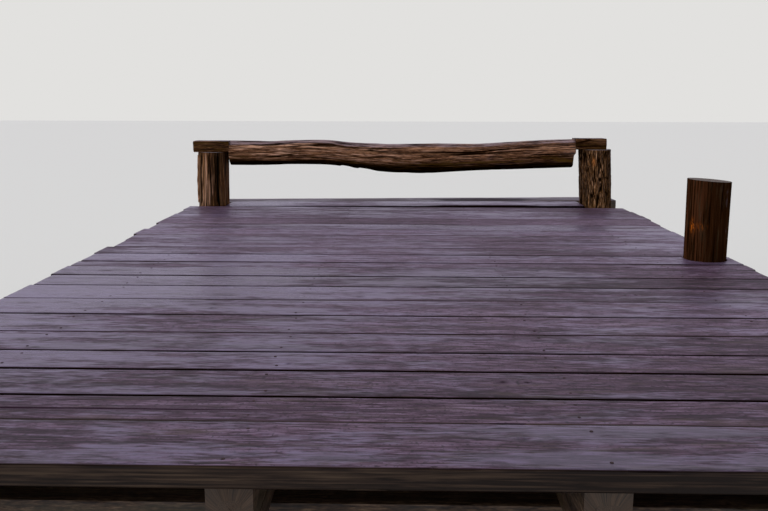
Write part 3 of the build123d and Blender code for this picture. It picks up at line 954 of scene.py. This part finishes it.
def logCourse(x):
    # the body's middle and height at x, eased between the listed places
    share = (x - seat["leftShoulder"]) / (seat["rightShoulder"] - seat["leftShoulder"])
    share = min(1.0, max(0.0, share))
    course = seat["course"]
    n = max(i for i in range(len(course) - 1) if course[i][0] <= share or i == 0)
    t = (share - course[n][0]) / (course[n + 1][0] - course[n][0])
    before, after = course[max(0, n - 1)], course[min(len(course) - 1, n + 2)]
    values = []
    for part in (1, 2):
        p0, p1, p2, p3 = before[part], course[n][part], course[n + 1][part], after[part]
        values.append(0.5 * (2 * p1 + (p2 - p0) * t + (2 * p0 - 5 * p1 + 4 * p2 - p3) * t * t
                             + (3 * p1 - p0 - 3 * p2 + p3) * t ** 3))
    (leftX, leftZ), (rightX, rightZ) = seat["postTops"]
    line = leftZ + (rightZ - leftZ) * (x - leftX) / (rightX - leftX)
    return line + values[0], values[1]


def logSkin(x, c, s):
    # torn fibres on the left, smoother with dark bands on the right
    seed, deep = seat["seed"], seat["depths"]

    def ripple(along, around, step=0):
        return rough(x * along, c * around, s * around, seed + step)

    torn = 1 - ease(x, -0.35, 0.25)
    main = crease(ripple(0.8, 2.6), 0.10)
    main *= ease(ripple(1.6, 2, 3), -0.2, 0.25)
    fine = crease(ripple(2.4, 7, 1), 0.18)
    strands = ease(ripple(2.2, 5, 5), 0.05, 0.28)
    out = deep["swell"] * ripple(2.6, 1.3, 8) + deep["grit"] * ripple(12, 16, 2)
    out += (deep["strands"] + deep["tornStrands"] * torn) * strands
    out -= deep["main"] * main + deep["fine"] * fine
    # two small steps in the underside where the log thickens
    out -= deep["step"] * sum(within(x, *step) for step in seat["steps"]) * ease(-s, 0.45, 0.85)
    # the underside is painted black: shade, with some real damp, and higher up where the log is thickest
    thick = math.exp(-((x - 0.1) / 0.45) ** 2)
    under = ease(-s + 0.14 * rough(x * 3, 4, 1, seed), 0.44 - 0.26 * thick, 0.68 - 0.24 * thick)
    # a crack runs in from the right shoulder, and the wood below it is darker
    crack = ease(x, 0.80, 0.95) * crease(s - 0.05 + 0.05 * rough(x * 5, 3, 2, seed), 0.06)
    below = 0.48 * ease(x, 0.85, 1.0) * ease(-s, -0.05, 0.12)
    # on the left a dark line divides the flat wet top from the torn side
    brow = within(x, *seat["browSpan"]) * ease(rough(x * 3, 8, 4, seed), -0.35, -0.05)
    brow *= crease(s - 0.70 + 0.05 * rough(x * 4, 5, 6, seed), 0.07)
    out -= deep["crack"] * crack + deep["brow"] * brow
    # pale bare fibres, closest together near the left post, and a golden band low on the right
    gold = (1 - torn) * crease(s + 0.50 + 0.10 * rough(x * 2.5, 7, 2, seed), 0.09)
    dense = within(x, *seat["denseSpan"])
    pale = ease(ripple(5.5, 7.5, 6) + 0.16 * dense, 0.05, 0.22) * (0.35 + 0.65 * torn)
    pale = max(pale * (1 - ease(-s, 0.25, 0.6)), 0.4 * gold)
    olive = within(-s, -0.05, 0.35, 0.60, 0.85) * (0.9 - 0.5 * torn) * (1 - 0.55 * under)
    dark = max(main, (0.55 + 0.2 * torn) * fine, (0.9 - 0.15 * torn) * under * (1 - 0.7 * gold), crack, below,
               0.9 * brow)
    away = ease(c, 0.15, 0.7)     # the lake side is duller
    # the flat wet top takes a painted sky reflection
    return out, {"grooveAndShade": dark, "pale": pale * (1 - main) * (1 - 0.7 * away),
                 "tone": -0.02 + 0.24 * torn - 0.18 * away, "stain": olive,
                 "wet": ease(s, 0.70, 0.84) * (0.6 + 0.4 * torn)}


def logStations():
    # where rings lie along the log: place, kind, size of the ring, and 1 on an end
    left, right, tongueStep = seat["leftShoulder"], seat["rightShoulder"], seat["tongueStep"]
    start, stop = seat["leftEnd"], seat["rightEnd"]
    runs = ((start + 0.004, left, "left", tongueStep), (left + 0.005, right - 0.005, "body", seat["step"]),
            (right, stop - 0.004, "right", tongueStep))
    stations = [(start, "left", 0.5, 1.0), (start, "left", 0.97, 1.0)]
    for first, last, kind, step in runs:
        count = max(2, round((last - first) / step))
        rings = [(first + (last - first) * n / count, kind, 1.0, 0.0) for n in range(count + 1)]
        if kind == "body":
            rings = [(left, "body", 0.97, 0.5), *rings, (right, "body", 0.97, 0.5)]
        stations.extend(rings)
    return stations + [(stop, "right", 0.97, 1.0), (stop, "right", 0.5, 1.0)]


def makeSeatLog():
    seed = seat["seed"]

    def place(station, angle):
        x, kind, shrink, end = station
        c, s = math.cos(angle), math.sin(angle)
        if kind == "body":
            middle, high = logCourse(x)
            out, shown = logSkin(x, c, s)
            y = c * (high / 2 * seat["depthRatio"] + out) * shrink
            z = s * (high / 2 + out) * shrink
        else:
            low, top = seat[f"{kind}Tongue"]
            middle, high = (low + top) / 2, top - low
            y, z = roundedBlock(angle, seat["tongueHalfDepth"], high / 2, seat["arris"])
            hewn = 0.0016 * rough(x * 5, y * 30, z * 30, seed) + 0.001 * rough(x * 22, y * 60, z * 60, seed)
            y, z = (y + c * hewn) * shrink, z * shrink + (hewn if s > 0 else 0)
            nick = crease(rough(x * 2, y * 26, z * 26, seed + 4), 0.12)
            # a tongue's top takes a painted sky reflection
            shown = {"grooveAndShade": 0.35 * nick + seat[f"{kind}Dirt"], "pale": 0.0, "wet": ease(s, 0.55, 0.7),
                     "stain": 0.36, "tone": 0.0}
        if x > seat["rightShoulder"] - 0.01 and kind == "body":
            # the right shoulder is sawn back under its crack
            x -= seat["sawnBack"] * ease(-s, -0.08, 0.15) * (1 - 0.6 * ease(-s, 0.3, 1.0))
        at = (x + 0.002 * end * rough(y * 40, z * 40, seed), farY + y, middle + z)
        return at, (x + seed, y + seed * 2, z - seed), dict(shown, end=end)

    bm = woundTube(logStations(), bearings(seat["around"]), place)
    return finishPiece("seat_log_rail", bm, logFinish, ("log_rail",), sharpAngle=50)


makeSeatLog()
print("seat log hewn")

# radius, thickness, how far out its middle lies, sides and softened rim of each round plate
fixings = {
    "nail": (0.0042, 0.004, -0.0012, 10, 0.0006), "nailInset": 0.035, "nailStray": (0.012, 0.006),
    "boltSet": ((0.026, 0.005, 0.002, 28, 0.0012), (0.014, 0.011, 0.009, 6, 0.0014),
                (0.009, 0.014, 0.014, 16, 0.0014)),
    # places of the bolts along and up, and how far the two of a pair stand apart
    "clampBolts": {"mid": (-1.38, 1.386), "far": (-1.385, 1.375)},
    "clampHeights": ((0.385, -0.022), (0.455, 0.022)),
    "beamBolts": (-1.372, 1.335), "beamHeights": (0.60, 0.66),
}


def addDisc(bm, at, plate, axis="z", outward=1):
    # a round or six-sided plate with a softened rim
    radius, thick, offset, segments, bevel = plate
    verts = bmesh.ops.create_cone(bm, cap_ends=True, segments=segments, radius1=radius, radius2=radius,
                                  depth=thick)["verts"]
    if axis == "y":
        bmesh.ops.rotate(bm, verts=verts, cent=(0, 0, 0), matrix=Matrix.Rotation(math.pi / 2, 3, "X"))
    x, y, z = at
    moved = (x, y + outward * offset, z) if axis == "y" else (x, y, z + offset)
    bmesh.ops.translate(bm, verts=verts, vec=moved)
    rims = [edge for vert in verts for edge in vert.link_edges if edge.verts[0] == vert
            and max(len(face.verts) for face in edge.link_faces) == segments]
    bmesh.ops.bevel(bm, geom=rims, offset=bevel, segments=1, profile=0.5, affect="EDGES", material=-1)


def driveNails():
    # two nails through each board into each joist
    draw = random.Random(8)
    bm = bmesh.new()
    strayX, strayY = fixings["nailStray"]
    for number in range(1, 22):
        low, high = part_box(f"plank_{number:02d}")
        for below in range(1, 5):
            joistLow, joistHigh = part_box(f"joist_{below}")
            for side in (-1, 1):
                x = (joistLow.x + joistHigh.x) / 2 + draw.uniform(-strayX, strayX)
                y = (low.y + high.y) / 2 + side * ((high.y - low.y) / 2 - fixings["nailInset"])
                y += draw.uniform(-strayY, strayY)
                addDisc(bm, (x, y, high.z), fixings["nail"])
    return finishPiece("board_nails", bm, rustFinish, sharpAngle=30)


def setBolts(name, places):
    # a round washer, a six-sided nut and the bolt's end at each place
    bm = bmesh.new()
    for *at, outward in places:
        for plate in fixings["boltSet"]:
            addDisc(bm, at, plate, "y", outward)
    return finishPiece(name, bm, rustFinish, sharpAngle=30)


def boltClamps():
    places = []
    for row, piles in fixings["clampBolts"].items():
        front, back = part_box(f"{row}_clamp_near")[0].y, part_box(f"{row}_clamp_far")[1].y
        for x in piles:
            for z, side in fixings["clampHeights"]:
                places.extend([(x + side, front, z, -1), (x + side, back, z, 1)])
    setBolts("clamp_bolts", places)
    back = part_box("end_beam")[1].y
    setBolts("beam_bolts", [(x, back, z, 1) for x in fixings["beamBolts"] for z in fixings["beamHeights"]])


driveNails()
boltClamps()
print("nails and bolts fixed")

studio = {
    "floorTone": (214, 212, 208), "floorSize": 60, "floorRoughness": 0.9,
    # tone and strength of the sky that lights the wood, that the wood mirrors, and that the camera sees
    "sky": ((232, 235, 240), 0.80), "mirrored": ((230, 224, 244), 0.76), "backdrop": ((226, 225, 223), 1.0),
    # name, bearing and height it shines from, strength, how wide it is
    "suns": (("soft_light_behind", (-10, 50), 0.75, 70), ("soft_light_bank", (240, 36), 0.95, 60)),
}


def skyFor(tree, name):
    tone, strength = studio[name]
    return put(tree, "ShaderNodeBackground", {"Color": colour(*tone), "Strength": strength}).outputs[0]


def lightStudio():
    world = bpy.data.worlds.new("studio")
    world.use_nodes = True
    scene.world = world
    tree = world.node_tree
    tree.nodes.clear()
    path = put(tree, "ShaderNodeLightPath")
    sockets = {0: path.outputs["Is Glossy Ray"], 1: skyFor(tree, "sky"), 2: skyFor(tree, "mirrored")}
    lit = put(tree, "ShaderNodeMixShader", sockets)
    sockets = {0: path.outputs["Is Camera Ray"], 1: lit.outputs[0], 2: skyFor(tree, "backdrop")}
    seen = put(tree, "ShaderNodeMixShader", sockets)
    put(tree, "ShaderNodeOutputWorld", {"Surface": seen.outputs[0]})
    for name, (bearing, height), strength, wide in studio["suns"]:
        data = bpy.data.lights.new(name, "SUN")
        data.energy = strength
        data.angle = math.radians(wide)
        lamp = bpy.data.objects.new(name, data)
        lamp.visible_glossy = False     # no glare on the wet boards
        turn = Matrix.Rotation(math.radians(-bearing), 3, "Z")
        away = turn @ Vector((0, math.cos(math.radians(height)), math.sin(math.radians(height))))
        lamp.rotation_euler = away.to_track_quat("Z", "Y").to_euler()
        scene.collection.objects.link(lamp)


def layFloor():
    bm = bmesh.new()
    bmesh.ops.create_grid(bm, x_segments=8, y_segments=8, size=studio["floorSize"])
    floor = newObject("studio_floor", bm)
    finish, tree, shader = newFinish("pale_floor")
    feed(tree, shader, {"Base Color": colour(*studio["floorTone"]), "Roughness": studio["floorRoughness"]})
    floor.data.materials.append(finish)


lightStudio()
layFloor()
scene.view_settings.view_transform = "Standard"
print("studio lit")
